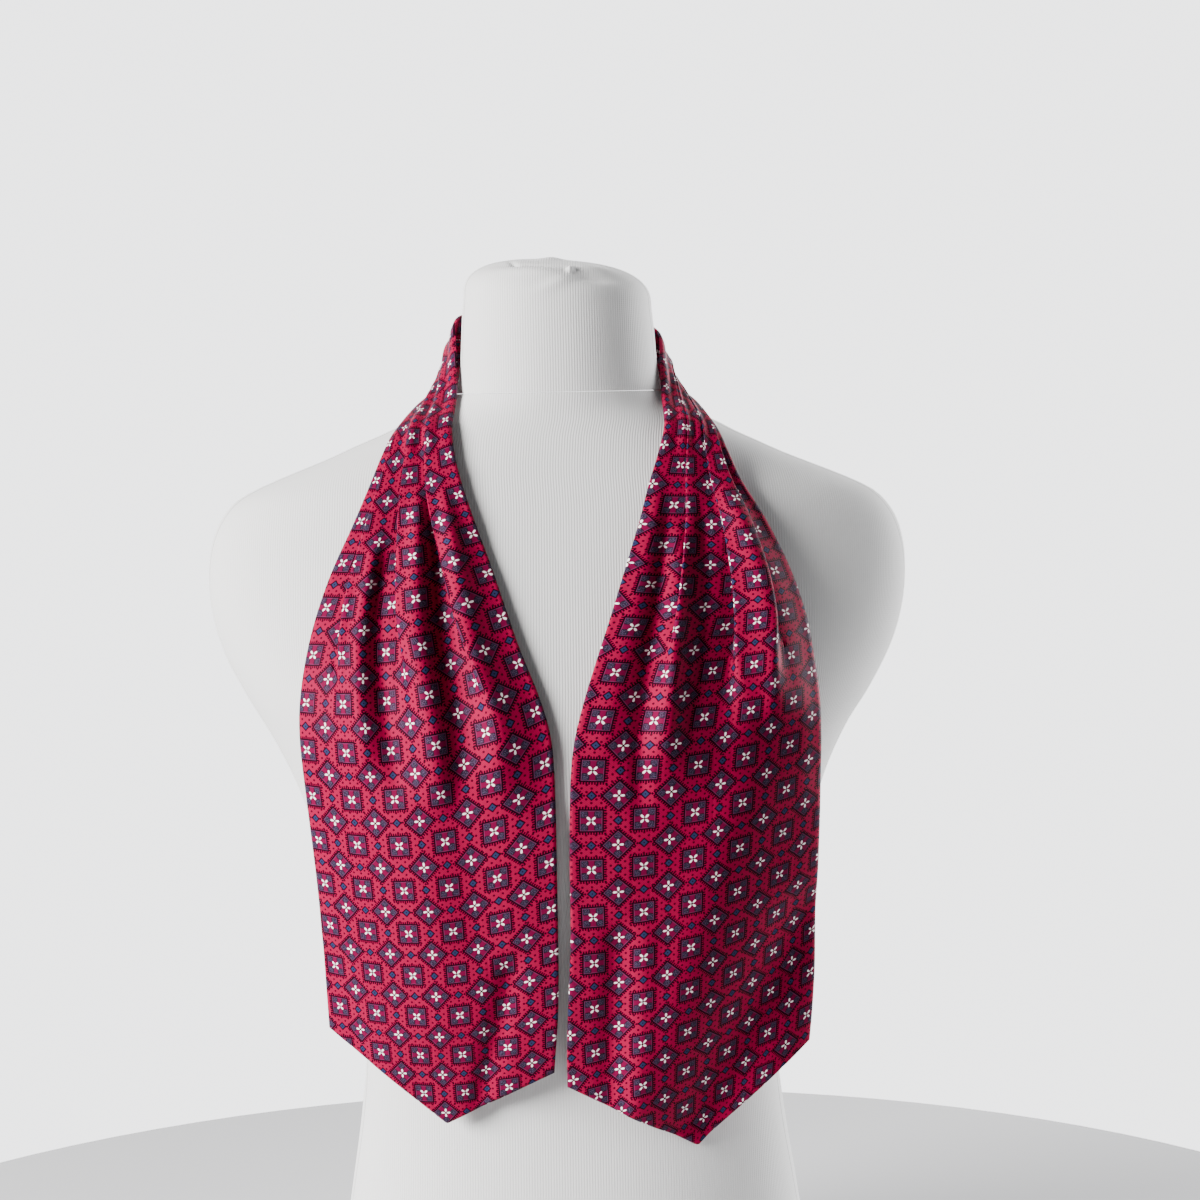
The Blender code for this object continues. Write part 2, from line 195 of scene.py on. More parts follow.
# The pleats of each blade, from the inner edge. Starts and ends are places on the flat cloth,
# out_facing is 1 where the fold line faces the outer edge and -1 where it faces the inner one,
# before and after are heights of the cloth beside it as shares of the fold's depth, and linger
# says how much further down than usual the fold stays sharp.
Pleat = namedtuple("Pleat", "start end out_facing before after linger")
LEFT_PLEATS = table(
    Pleat,
    (25, 61, 1, 1.0, 0.0, 10),
    (75, 111, 1, 1.0, 0.0, -4),
    (123, 156, 1, 0.9, 0.0, 4),
)
RIGHT_PLEATS = table(
    Pleat,
    (24, 60, -1, 0.0, 1.0, -4),
    (74, 110, -1, 0.0, 1.0, 2),
    (122, 156, 1, 0.9, 0.0, -6),
)

# How a pleat looks at a height: how far it has opened, how far the cloth turns at each of its
# two folds, how long each turn is, and how far the layers lap
FoldState = namedtuple("FoldState", "z opening turn_degrees turn_length lap")
FOLD_STATES = table(
    FoldState,
    (305, 1.0, 0.5, 11, 0),
    (340, 1.0, 5, 11, 0),
    (365, 0.99, 14, 11, 0),
    (385, 0.96, 28, 10, 0),
    (400, 0.9, 50, 8, 0),
    (415, 0.8, 90, 5.6, 0),
    (430, 0.7, 140, 4.6, 1.2),
    (445, 0.6, 165, 4.2, 2.5),
    (470, 0.45, 178, 3.8, 4),
    (500, 0.26, 180, 2.9, 4),
    (520, 0.16, 180, 2.0, 3.5),
    (545, 0.1, 180, 1.2, 3),
)
BAND_FOLD = FoldState(600, 0.1, 180, 0.75, 2.5)
SHOWS_BEFORE_FOLD = 0.28
ZONE_BLEND = 2.0

# Soft folds of the blades, from one place on the cloth to another
SoftFold = namedtuple("SoftFold", "top_across top_z bottom_across bottom_z half_width height")
LEFT_FOLDS = table(
    SoftFold,
    (0.00, 510, 0.02, 345, 15, -2.5),
    (0.20, 530, 0.22, 360, 11, 5.0),
    (0.315, 505, 0.37, 355, 8, -3.0),
    (0.46, 530, 0.45, 360, 12, 7.0),
    (0.69, 490, 0.62, 360, 6, -2.5),
    (0.76, 500, 0.735, 370, 8, 4.0),
    (0.81, 470, 0.78, 385, 5, -1.5),
    (0.60, 360, 0.52, 200, 26, 3.0),
    (0.37, 345, 0.33, 250, 16, -2.0),
    (0.17, 245, 0.31, 150, 9, -4.0),
    (0.98, 250, 0.86, 165, 12, -2.5),
)
RIGHT_FOLDS = table(
    SoftFold,
    (0.10, 530, 0.12, 380, 11, 2.5),
    (0.20, 515, 0.265, 350, 6, -2.5),
    (0.31, 500, 0.36, 375, 10, 5.0),
    (0.50, 515, 0.44, 385, 8, -3.0),
    (0.79, 530, 0.83, 395, 18, 8.0),
    (1.00, 500, 1.00, 350, 10, -3.0),
    (0.45, 400, 0.20, 225, 30, 2.0),
    (0.74, 360, 0.32, 150, 27, 6.5),
    (1.02, 285, 0.56, 120, 22, -10.0),
    (0.18, 265, 0.18, 150, 9, -3.5),
    (0.29, 265, 0.29, 150, 8, 2.0),
)
FOLD_END_FADE = 0.22
FOLD_FADED_AT = 1.25

# The fine gathers along the band, and how soon they fade towards the nape and the stitching
BAND_GATHERS = 3.5
GATHER_HEIGHT = 0.9
GATHER_WANDER = 0.35
GATHER_WANDER_PACE = 9.0
GATHERS_NAPE_FADE = 0.2
GATHERS_STITCH_FADE = 0.06

# The pleated band from the middle of the nape to the blade, its two edges in space
BandStation = namedtuple("BandStation", "along inner outer bow")
LEFT_BAND = table(
    BandStation,
    (0.00, (0, 74, 643), (0, 85, 600), 0.0),
    (0.22, (45, 59, 643), (55, 68, 597), 1.0),
    (0.42, (67.5, 28, 640), (77, 36, 593), 1.0),
    (0.60, (68, -1, 612), (84.5, 7, 583.5), 1.5),
    (0.76, (66, -26.5, 583), (96, -12, 573.5), 2.0),
    (0.89, (67.5, -51, 560), (106.5, -38, 557), 3.0),
)
RIGHT_BAND = table(
    BandStation,
    (0.00, (0, 74, 643), (0, 85, 600), 0.0),
    (0.22, (44, 59, 640), (54, 68, 595), 1.0),
    (0.42, (66, 28, 629), (75, 35, 587), 1.0),
    (0.60, (67.5, -1, 606), (82, 7, 582), 1.5),
    (0.76, (67, -27, 581), (91.5, -12, 574), 2.0),
    (0.89, (67, -51, 559), (101, -38, 558), 3.0),
)

# Each half of the cravat: edge_heights are the heights of its inner and outer edge, as shares
# of the depth of the fold beside them
Half = namedtuple("Half", "name side rails hem pleats edge_heights folds band")
HALVES = (
    Half("left", -1, LEFT_RAILS, LEFT_HEM, LEFT_PLEATS, (0.35, 0.0), LEFT_FOLDS, LEFT_BAND),
    Half("right", 1, RIGHT_RAILS, RIGHT_HEM, RIGHT_PLEATS, (0.45, 0.1), RIGHT_FOLDS, RIGHT_BAND),
)

# Mesh densities of the cloth: steps over each visible stretch, each turn and each lap, closer
# together towards the cloth's edges
STRETCH_STEPS = (22, 17, 15, 9)
TURN_STEPS = 8
LAP_STEPS = 3
BLADE_ROWS = 180
BAND_ROWS = 96
INNER_EDGE_CROWDING = 1.5
OUTER_EDGE_CROWDING = 1.4
HEM_ROW_SHARE = 0.35
HEM_ROW_CROWDING = 0.7
LEAST_TURN_DEGREES = 0.1

# How the cloth curls back at its turned edges, and how steeply the pointed hem runs
EDGE_ROLL = 1.6
HEM_SLANT = 0.92

# Mesh densities of the form, and how sharp an edge stays sharp when it is shaded
TORSO_RING_STEP = 4.5
CAP_RING_STEP = 2.5
DOME_RINGS = 48
CLOTH_SHARP_DEGREES = 60
FORM_SHARP_DEGREES = 40
MERGE_DISTANCE = 0.00001

# Where the camera stands, from the photograph's perspective: the half of its width in pixels,
# and the size of a pixel on a plane at a distance, in millimetres
CAMERA_PLACE = (0.0276, -1.42175, 0.450)
CAMERA_ROLL = math.radians(-1.1)
HALF_WIDTH_PIXELS = 600
PIXEL_SIZE = 0.593
PIXEL_DISTANCE = 1300
HALF_VIEW = math.atan(PIXEL_SIZE * HALF_WIDTH_PIXELS / PIXEL_DISTANCE)

# The studio: where the lights aim, and how far the floor lies below the form's flat base
LIGHTS_AIM = (0.0, 0.0, 0.42)
FLOOR_DROP = 0.0004
SoftLight = namedtuple("SoftLight", "name place size power colour")


class CravatSettings(bpy.types.PropertyGroup):
    """Sizes and colours of the silk."""

    wall: FloatProperty(
        name="Cloth wall", description="Thickness of the doubled silk", default=0.0006, unit="LENGTH"
    )
    repeat: FloatProperty(
        name="Print repeat",
        description="Side of one square cell of the print",
        default=0.0294,
        unit="LENGTH",
    )
    ground: FloatVectorProperty(
        name="Ground",
        description="Crimson ground of the print",
        default=(0.235, 0.0010, 0.032),
        subtype="COLOR",
    )
    pin_dot: FloatVectorProperty(
        name="Pin dots",
        description="Small dots over the ground",
        default=(0.040, 0.0010, 0.008),
        subtype="COLOR",
    )
    outline: FloatVectorProperty(
        name="Outline",
        description="Dark outlines and teeth",
        default=(0.007, 0.0010, 0.005),
        subtype="COLOR",
    )
    core: FloatVectorProperty(
        name="Core",
        description="Magenta inside the medallions",
        default=(0.14, 0.0025, 0.035),
        subtype="COLOR",
    )
    lobe: FloatVectorProperty(
        name="Corner lobes",
        description="Slate corners of the medallions",
        default=(0.013, 0.008, 0.019),
        subtype="COLOR",
    )
    blue: FloatVectorProperty(
        name="Blue",
        description="Small diamonds between the medallions",
        default=(0.022, 0.028, 0.080),
        subtype="COLOR",
    )
    petal: FloatVectorProperty(
        name="Petals",
        description="Four petals of each flower",
        default=(0.98, 0.92, 0.91),
        subtype="COLOR",
    )


class FormSettings(bpy.types.PropertyGroup):
    """Sizes and colours of the dress form."""

    points_round: IntProperty(
        name="Points round", description="Points round each section of the form", default=240, min=24
    )
    cover: FloatVectorProperty(
        name="Cover",
        description="White of the knitted cover",
        default=(0.74, 0.735, 0.73),
        subtype="COLOR",
    )
    rib: FloatProperty(
        name="Rib", description="Width of one rib of the knit", default=0.0017, unit="LENGTH"
    )


class StudioSettings(bpy.types.PropertyGroup):
    """The floor and the light."""

    floor_radius: FloatProperty(
        name="Floor", description="Radius of the plain floor", default=0.6, unit="LENGTH"
    )
    floor_colour: FloatVectorProperty(
        name="Floor colour",
        description="Pale grey of the floor",
        default=(0.50, 0.50, 0.51),
        subtype="COLOR",
    )
    key_power: FloatProperty(
        name="Key", description="Power of the soft key light on the left", default=280.0, unit="POWER"
    )
    sky: FloatProperty(
        name="Sky", description="Strength of the even light from all round", default=0.10
    )
    backdrop: FloatProperty(
        name="Backdrop", description="Strength of the light from behind the form", default=3.3
    )


def table_values(rows, position):
    """All columns of a table at a place between its rows, on one smooth curve through them."""
    places = [row[0] for row in rows]
    position = min(max(position, places[0]), places[-1])
    last = len(rows) - 1
    low = max(i for i in range(last) if places[i] <= position)
    high = low + 1
    span = places[high] - places[low]
    part = (position - places[low]) / span
    before = max(low - 1, 0)
    after = min(high + 1, last)
    values = []
    for column in range(1, len(rows[0])):
        start = rows[low][column]
        end = rows[high][column]
        leave = (end - rows[before][column]) / (places[high] - places[before]) * span
        arrive = (rows[after][column] - start) / (places[after] - places[low]) * span
        values.append(hermite(start, end, leave, arrive, part))
    return values


def hermite(start, end, leave, arrive, part):
    """A cubic from start to end, with its slope given at both ends."""
    square = part * part
    cube = square * part
    return (
        start * (2 * cube - 3 * square + 1)
        + leave * (cube - 2 * square + part)
        + end * (3 * square - 2 * cube)
        + arrive * (cube - square)
    )


def smoothstep(value):
    value = min(max(value, 0.0), 1.0)
    return value * value * (3 - 2 * value)


def signed_power(value, power):
    return math.copysign(abs(value) ** power, value)


def blended_larger(one, other, blend):
    """The larger of two numbers, rounded off where they are nearly equal."""
    return (one + other + math.hypot(one - other, blend)) / 2


# The dress form's surface


def neck_lean(z):
    return NECK_LEAN * smoothstep((z - NECK_LEAN_STARTS_Z) / (NECK_SEAM_Z - NECK_LEAN_STARTS_Z))


def cap_side_lean(z):
    share = (z - CAP_SIDE_LEAN_STARTS_Z) / (CAP_DOME_Z - CAP_SIDE_LEAN_STARTS_Z)
    return CAP_SIDE_LEAN * smoothstep(share)


def form_point(ring, angle):
    """A point of the dress form on one section, by its angle round the middle."""
    across = signed_power(math.cos(angle), 2 / SECTION_POWER)
    along = signed_power(math.sin(angle), 2 / SECTION_POWER)
    depth = ring.back - ring.middle if along > 0 else ring.middle - ring.front
    x = ring.shift + ring.half_width * across
    y = ring.middle + depth * along
    z = ring.z + neck_lean(ring.z) * (y - ring.middle) - cap_side_lean(ring.z) * x
    return Vector((x, y, z))


# The blades' surface


class Level:
    """One height of a blade, with the values that all its points share."""

    def __init__(self, half, z):
        self.z = z
        self.inner, self.outer = table_values(half.rails, z)
        self.drape_half_width, self.drape_depth = table_values(DRAPE_RINGS, z)
        torso = table_values(TORSO_RINGS, z)
        self.form_half_width, self.form_front, _, self.form_middle, self.form_shift = torso

    def form(self, x):
        """How far in front of the middle plane the form's own surface stands."""
        inside = max(1 - abs((x - self.form_shift) / self.form_half_width) ** SECTION_POWER, 0.0)
        return (self.form_middle - self.form_front) * inside ** (1 / SECTION_POWER) - self.form_middle

    def front(self, x):
        """How far in front of the middle plane the hanging cloth stands, clear of the form."""
        inside = max(1 - abs(x / self.drape_half_width) ** DRAPE_POWER, 0.0)
        hanging = self.drape_depth * inside ** (1 / DRAPE_POWER)
        return blended_larger(hanging, self.form(x) + CLOTH_CLEARANCE, DRAPE_BLEND)


def soft_fold_height(folds, across, z):
    """Sum of the long soft folds at a place of the blade."""
    height = 0.0
    for fold in folds:
        along = (fold.top_z - z) / (fold.top_z - fold.bottom_z)
        fade = smoothstep(along / FOLD_END_FADE) * smoothstep((FOLD_FADED_AT - along) / FOLD_END_FADE)
        middle = fold.top_across + along * (fold.bottom_across - fold.top_across)
        distance = (across - middle) * BLADE_WIDTH / fold.half_width
        height += fold.height * fade * math.exp(-distance * distance)
    return height


def hem_z(hem, across):
    """Height of the pointed lower edge."""
    if across < hem.tip_across:
        part = across / hem.tip_across
        return hem.inner_corner_z + part * (hem.tip_z - hem.inner_corner_z)
    part = (across - hem.tip_across) / (1 - hem.tip_across)
    return hem.tip_z + part * (hem.outer_corner_z - hem.tip_z)


def fold_state(z):
    opening, degrees, turn_length, lap = table_values(FOLD_STATES, z)
    return FoldState(z, opening, min(degrees, 180.0), turn_length, max(lap, 0.0))


def mixed_state(one, other, share):
    return FoldState(*(a + (b - a) * share for a, b in zip(one, other)))


def fold_steps(state, out_facing):
    """The steps of one pleat's folds: lengths along the cloth, and how far each is turned."""
    turn = math.radians(max(state.turn_degrees, LEAST_TURN_DEGREES)) * -out_facing
    parts = [
        (state.turn_length, 0.0, turn, TURN_STEPS),
        (state.lap, turn, turn, LAP_STEPS),
        (state.turn_length, turn, 0.0, TURN_STEPS),
    ]
    flat_lap = (state.lap, 0.0, 0.0, LAP_STEPS)
    parts.insert(3 if out_facing > 0 else 0, flat_lap)
    steps = []
    for length, begin, end, count in parts:
        for step in range(count):
            angle = begin + (end - begin) * (step + 0.5) / count
            steps.append((length / count, angle))
    return steps


SectionPoint = namedtuple("SectionPoint", "flat across height")


def edge_spaced(count, begins_at_edge, ends_at_edge):
    """Even shares of a stretch, drawn closer together where it meets an edge of the cloth."""
    shares = [step / count for step in range(1, count + 1)]
    if begins_at_edge:
        shares = [share**INNER_EDGE_CROWDING for share in shares]
    if ends_at_edge:
        shares = [1 - (1 - share) ** OUTER_EDGE_CROWDING for share in shares]
    return shares


def cloth_section(half, states):
    """The folded cloth across a blade or band: places on the flat cloth, and where they lie."""
    first_height, last_height = half.edge_heights
    pleats = []
    for pleat, state in zip(half.pleats, states):
        steps = fold_steps(state, pleat.out_facing)
        depth = abs(sum(length * math.sin(angle) for length, angle in steps))
        length = sum(step[0] for step in steps)
        width = pleat.end - pleat.start
        hidden = width * (1 - state.opening)
        zone = blended_larger(hidden, length, ZONE_BLEND)
        shown_before = SHOWS_BEFORE_FOLD if pleat.out_facing > 0 else 1 - SHOWS_BEFORE_FOLD
        middle = pleat.start + shown_before * (width - hidden) + hidden / 2
        start = middle - zone / 2
        pleats.append((pleat, steps, depth, length, start, zone))
    points = [SectionPoint(0.0, 0.0, first_height * pleats[0][2])]
    for index, count in enumerate(STRETCH_STEPS):
        flat, across, height = points[-1]
        last = index == len(pleats)
        if last:
            flat_end, height_end = BLADE_WIDTH, last_height * pleats[-1][2]
        else:
            pleat, steps, depth, length, start, zone = pleats[index]
            flat_end, height_end = start, pleat.before * depth
        for share in edge_spaced(count, index == 0, last):
            points.append(
                SectionPoint(
                    flat + (flat_end - flat) * share,
                    across + (flat_end - flat) * share,
                    height + (height_end - height) * smoothstep(share),
                )
            )
        if last:
            break
        flat, across, height = points[-1]
        scale = abs(pleat.after - pleat.before)
        for step_length, angle in steps:
            flat += step_length / length * zone
            across += step_length * math.cos(angle)
            height += step_length * math.sin(angle) * scale
            points.append(SectionPoint(flat, across, height))
    return points


def edge_roll(distance):
    """How far the cloth curls back near a turned edge."""
    if distance >= EDGE_ROLL:
        return 0.0
    inside = EDGE_ROLL - max(distance, 0.0)
    return EDGE_ROLL - math.sqrt(EDGE_ROLL**2 - inside**2)


def blade_states(half, z):
    return [fold_state(z + pleat.linger) for pleat in half.pleats]


def blade_place(half, level, section, point):
    """A point of the middle of the blade's wall, with no edge roll."""
    share = point.across / section[-1].across
    x = half.side * (level.inner + share * (level.outer - level.inner))
    height = point.height + soft_fold_height(half.folds, share, level.z)
    least = level.form(x) + LEAST_CLEARANCE
    stands = blended_larger(level.front(x) + height, least, LEAST_CLEARANCE_BLEND)
    return Vector((x, -stands, level.z))


def blade_grid(half):
    """Points and flat places of the blade, row by row from the hem up to the stitching."""
    low_section = cloth_section(half, blade_states(half, half.hem.tip_z))
    shares = [point.across / low_section[-1].across for point in low_section]
    bottoms = [hem_z(half.hem, share) for share in shares]
    grid = []
    for row in range(BLADE_ROWS + 1):
        climb = row / BLADE_ROWS
        climb = climb * (HEM_ROW_SHARE + (1 - HEM_ROW_SHARE) * climb**HEM_ROW_CROWDING)
        places = []
        sections = {}
        for column, bottom in enumerate(bottoms):
            z = bottom + climb * (STITCH_END_Z - bottom)
            key = round(z, 3)
            if key not in sections:
                sections[key] = (Level(half, z), cloth_section(half, blade_states(half, z)))
            level, section = sections[key]
            point = section[column]
            place = blade_place(half, level, section, point)
            width = level.outer - level.inner
            share = point.across / section[-1].across
            to_edge = min(share * width, (1 - share) * width, (z - bottom) * HEM_SLANT)
            place.y += edge_roll(to_edge)
            places.append((place, point.flat))
        grid.append(places)
    return grid


# The band's surface


def band_stations(half):
    """The band's stations as rows of plain numbers, with more past each of its ends."""
    stations = [(row.along, *row.inner, *row.outer, row.bow) for row in half.band]
    along, inner_x, inner_y, inner_z, outer_x, outer_y, outer_z, bow = stations[1]
    stations.insert(0, (-along, -inner_x, inner_y, inner_z, -outer_x, outer_y, outer_z, bow))
    for along, z in ((1.0, BAND_END_Z), (1.0 + BAND_OVERRUN / BAND_LENGTH, BAND_END_Z - BAND_OVERRUN)):
        level = Level(half, z)
        section = cloth_section(half, blade_states(half, z))
        inner = blade_place(half, level, section, section[0])
        outer = blade_place(half, level, section, section[-1])
        bow = (inner.y + outer.y) / 2 + level.front((inner.x + outer.x) / 2)
        stations.append((along, abs(inner.x), inner.y, z, abs(outer.x), outer.y, z, bow))
    return stations


def band_line(half, stations, along):
    """Inner edge, outer edge and bow of the band at a share of its length."""
    inner_x, inner_y, inner_z, outer_x, outer_y, outer_z, bow = table_values(stations, along)
    inner = Vector((half.side * inner_x, inner_y, inner_z))
    outer = Vector((half.side * outer_x, outer_y, outer_z))
    return inner, outer, bow


def joining(along):
    """0 along the band and 1 at its end, over the stretch where it turns into the blade."""
    return smoothstep((along - BAND_JOIN_STARTS) / (1 - BAND_JOIN_STARTS))


def band_outward(half, stations, along):
    """The direction away from the neck, which turns to straight forwards at the blade."""
    step = 0.01
    inner, outer, _ = band_line(half, stations, along)
    inner_before, outer_before, _ = band_line(half, stations, along - step)
    inner_after, outer_after, _ = band_line(half, stations, along + step)
    onwards = inner_after + outer_after - inner_before - outer_before
    outward = (outer - inner).cross(onwards).normalized() * -half.side
    return outward.lerp(Vector((0, -1, 0)), joining(along)).normalized()


def gathers(share, along):
    """Height of the fine gathers that run along the band, which end at its edges and its nape."""
    wander = GATHER_WANDER * math.sin(along * GATHER_WANDER_PACE)
    wave = math.sin(share * BAND_GATHERS * 2 * math.pi + wander) * math.sin(math.pi * share)
    fade = smoothstep(along / GATHERS_NAPE_FADE) * smoothstep((1.0 - along) / GATHERS_STITCH_FADE)
    return GATHER_HEIGHT * wave * fade


def band_grid(half):
    """Points and flat places of the band, row by row from the stitching up to the nape."""
    stations = band_stations(half)
    blade_end = blade_states(half, BAND_END_Z)
    grid = []
    for row in range(1, BAND_ROWS + 1):
        along = 1 - row / BAND_ROWS
        inner, outer, bow = band_line(half, stations, along)
        outward = band_outward(half, stations, along)
        states = [mixed_state(BAND_FOLD, state, joining(along)) for state in blade_end]
        section = cloth_section(half, states)
        width = (outer - inner).length
        gap = Vector((half.side * NAPE_GAP / 2 * max(0.0, 1 - along * NAPE_GAP_FADE), 0, 0))
        places = []
        for point in section:
            share = point.across / section[-1].across
            edge_height = section[0].height * (1 - share) + section[-1].height * share
            rise = bow * 4 * share * (1 - share) + point.height - edge_height
            rise += gathers(share, along)
            rise -= edge_roll(min(share * width, (1 - share) * width))
            place = inner.lerp(outer, share) + outward * rise + gap
            places.append((place, point.flat))
        grid.append(places)
    return grid


def grain_lengths(grid):
    """How far up the cloth each point of a grid lies, measured along the grain from the stitching."""
    lengths = [[0.0] * len(grid[0])]
    for lower, upper in zip(grid, grid[1:]):
        row = []
        for column, ((place, flat), (next_place, next_flat)) in enumerate(zip(lower, upper)):
            step = (next_place - place).length
            sideways = min(abs(next_flat - flat), step)
            row.append(lengths[-1][column] + math.sqrt(step**2 - sideways**2))
        lengths.append(row)
    seam = lengths[BLADE_ROWS]
    smooth = []
    for row, (places, raw) in enumerate(zip(grid, lengths)):
        drops = [place.z - STITCH_END_Z if row < BLADE_ROWS else 0.0 for place, _ in places]
        flats = [flat for _, flat in places]
        extra = [length - start - drop for length, start, drop in zip(raw, seam, drops)]
        curve = np.polyval(np.polyfit(flats, extra, 2), flats)
        smooth.append([drop + float(more) for drop, more in zip(drops, curve)])
    return smooth


# Mesh helpers


def sheet_mesh(grid, texture_places):
    """A bmesh sheet through a grid of points, with a texture place for each of them."""
    columns = len(grid[0]) - 1
    rows = len(grid) - 1
    mesh = bmesh.new()
    bmesh.ops.create_grid(mesh, x_segments=columns, y_segments=rows, size=0.5)
    layer = mesh.loops.layers.uv.new("cloth")
    cells = {}
    for vertex in mesh.verts:
        column = round((vertex.co.x + 0.5) * columns)
        row = round((vertex.co.y + 0.5) * rows)
        cells[vertex] = (column, row)
        vertex.co = (grid[row][column] - OUTLINE_MIDDLE) * MM
    for face in mesh.faces:
        first_column = min(cells[vertex][0] for vertex in face.verts)
        for loop in face.loops:
            column, row = cells[loop.vert]
            loop[layer].uv = texture_places(first_column, column, row)
    return mesh


def new_piece(name, mesh, material, sharp_degrees):
    """Turns a finished bmesh into a smooth shaded object."""
    data = bpy.data.meshes.new(name)
    mesh.to_mesh(data)
    mesh.free()
    data.shade_smooth()
    data.set_sharp_from_angle(angle=math.radians(sharp_degrees))
    piece = bpy.data.objects.new(name, data)
    data.materials.append(material)
    bpy.context.scene.collection.objects.link(piece)
    return piece


def apply_modifiers(piece, sharp_degrees):
    """Makes a piece's modifiers part of its mesh, and marks its sharp edges afresh."""
    graph = bpy.context.evaluated_depsgraph_get()
    data = bpy.data.meshes.new_from_object(piece.evaluated_get(graph))
    piece.modifiers.clear()
    piece.data = data
    data.shade_smooth()
    data.set_sharp_from_angle(angle=math.radians(sharp_degrees))


# Node arithmetic for the materials


class Number:
    """A value in a node tree that plain arithmetic works on."""

    def __init__(self, tree, socket):
        self.tree = tree
        self.socket = socket

    def combined(self, operation, *others):
        node = self.tree.nodes.new("ShaderNodeMath")
        node.operation = operation
        for index, value in enumerate((self, *others)):
            if isinstance(value, Number):
                self.tree.links.new(value.socket, node.inputs[index])
            else:
                node.inputs[index].default_value = value
        return Number(self.tree, node.outputs[0])

    def __add__(self, other):
        return self.combined("ADD", other)

    def __sub__(self, other):
        return self.combined("SUBTRACT", other)

    def __mul__(self, other):
        return self.combined("MULTIPLY", other)

    def __truediv__(self, other):
        return self.combined("DIVIDE", other)

    def size(self):
        return self.combined("ABSOLUTE")

    def squared(self):
        return self.combined("MULTIPLY", self)

    def root(self):
        return self.combined("SQRT")

    def sine(self):
        return self.combined("SINE")

    def larger(self, other):
        return self.combined("MAXIMUM", other)

    def smaller(self, other):
        return self.combined("MINIMUM", other)

    def from_nearest_whole(self):
        """Signed distance to the nearest whole number."""
        return self.combined("ADD", 0.5).combined("FRACT") - 0.5

    def faded(self, low, high):
        """0 below low and 1 above high, or the other way round where high is the smaller."""
        node = self.tree.nodes.new("ShaderNodeMapRange")
        node.interpolation_type = "SMOOTHSTEP"
        self.tree.links.new(self.socket, node.inputs["Value"])
        node.inputs["From Min"].default_value = min(low, high)
        node.inputs["From Max"].default_value = max(low, high)
        node.inputs["To Min"].default_value = 0.0 if low < high else 1.0
        node.inputs["To Max"].default_value = 1.0 if low < high else 0.0
        return Number(self.tree, node.outputs["Result"])

    def under(self, limit, softness=0.12):
        """1 where the value is under a limit."""
        return self.faded(limit + softness, limit - softness)


def painted(tree, below, above, mask):
    """One colour laid over another where a mask is 1. Each colour is a socket or three numbers."""
    node = tree.nodes.new("ShaderNodeMix")
    node.data_type = "RGBA"
    colour_inputs = [socket for socket in node.inputs if socket.type == "RGBA"]
    for socket, colour in zip(colour_inputs, (below, above)):
        if isinstance(colour, bpy.types.NodeSocket):
            tree.links.new(colour, socket)
        else:
            socket.default_value = (*colour, 1.0)
    factor = next(socket for socket in node.inputs if socket.type == "VALUE")
    tree.links.new(mask.socket, factor)
    return next(socket for socket in node.outputs if socket.type == "RGBA")


def painted_layers(tree, colour, layers):
    """A colour with each of the layers laid over it in turn, as pairs of a colour and its mask."""
    for above, mask in layers:
        colour = painted(tree, colour, above, mask)
    return colour


def vector_parts(tree, vector):
    """The three numbers of a vector."""
    parts = tree.nodes.new("ShaderNodeSeparateXYZ")
    tree.links.new(vector, parts.inputs[0])
    return [Number(tree, socket) for socket in parts.outputs]


def noise(tree, vector, scale, detail):
    node = tree.nodes.new("ShaderNodeTexNoise")
    node.inputs["Scale"].default_value = scale
    node.inputs["Detail"].default_value = detail
    tree.links.new(vector, node.inputs["Vector"])
    return Number(tree, node.outputs["Fac"])


def bumped(tree, height, distance, strength):
    """The normal of a surface that a height raises."""
    node = tree.nodes.new("ShaderNodeBump")
    node.inputs["Distance"].default_value = distance
    node.inputs["Strength"].default_value = strength
    tree.links.new(height.socket, node.inputs["Height"])
    return node.outputs["Normal"]


def cloth_material(name):
    """A fresh material with its tree and its shader."""
    material = bpy.data.materials.new(name)
    material.use_nodes = True
    tree = material.node_tree
    return material, tree, tree.nodes["Principled BSDF"]


def texture_place(tree):
    """Both numbers of the cloth's texture place in millimetres, and the plain vector."""
    place = tree.nodes.new("ShaderNodeUVMap")
    place.uv_map = "cloth"
    across, along, _ = vector_parts(tree, place.outputs["UV"])
    return across * (1 / MM), along * (1 / MM), place.outputs["UV"]


# The print: medallions of two directions on one square lattice, in millimetres

MEDALLION_HALF = 6.3
TOOTH_LENGTH = 1.9
TOOTH_PITCH = 1.5
TOOTH_HALF_SHARE = 0.30
LOBE_MIDDLE = 3.75
LOBE_HALF = 2.15
LOBE_EDGE = 2.05
LOBE_SPECKS_HALF = 1.7
BORDER_INSET = 0.55
BORDER_HALF_WIDTH = 0.14
OUTLINE_OUTSET = 0.15
OUTLINE_HALF_WIDTH = 0.42
CORE_RADIUS = 3.4
PETAL_MIDDLE = 1.85
PETAL_HALF_LENGTH = 1.3
PETAL_HALF_WIDTH = 0.62
PETAL_SPREAD = 0.16
STAMEN_RADIUS = 0.62
DIAMOND_HALF = 3.1
DIAMOND_FILL_HALF = 2.1
DIAMOND_DOT_RADIUS = 0.4
DOT_PITCHES = (2.67, 4.2)
DOT_RADIUS = 0.68
SPECKLES_PER_METRE = 1900.0
TWILL_DIRECTION = (0.62, 0.78)
TWILL_PITCH = 0.9
LILAC = (0.13, 0.04, 0.10)
OLIVE = (0.022, 0.016, 0.009)

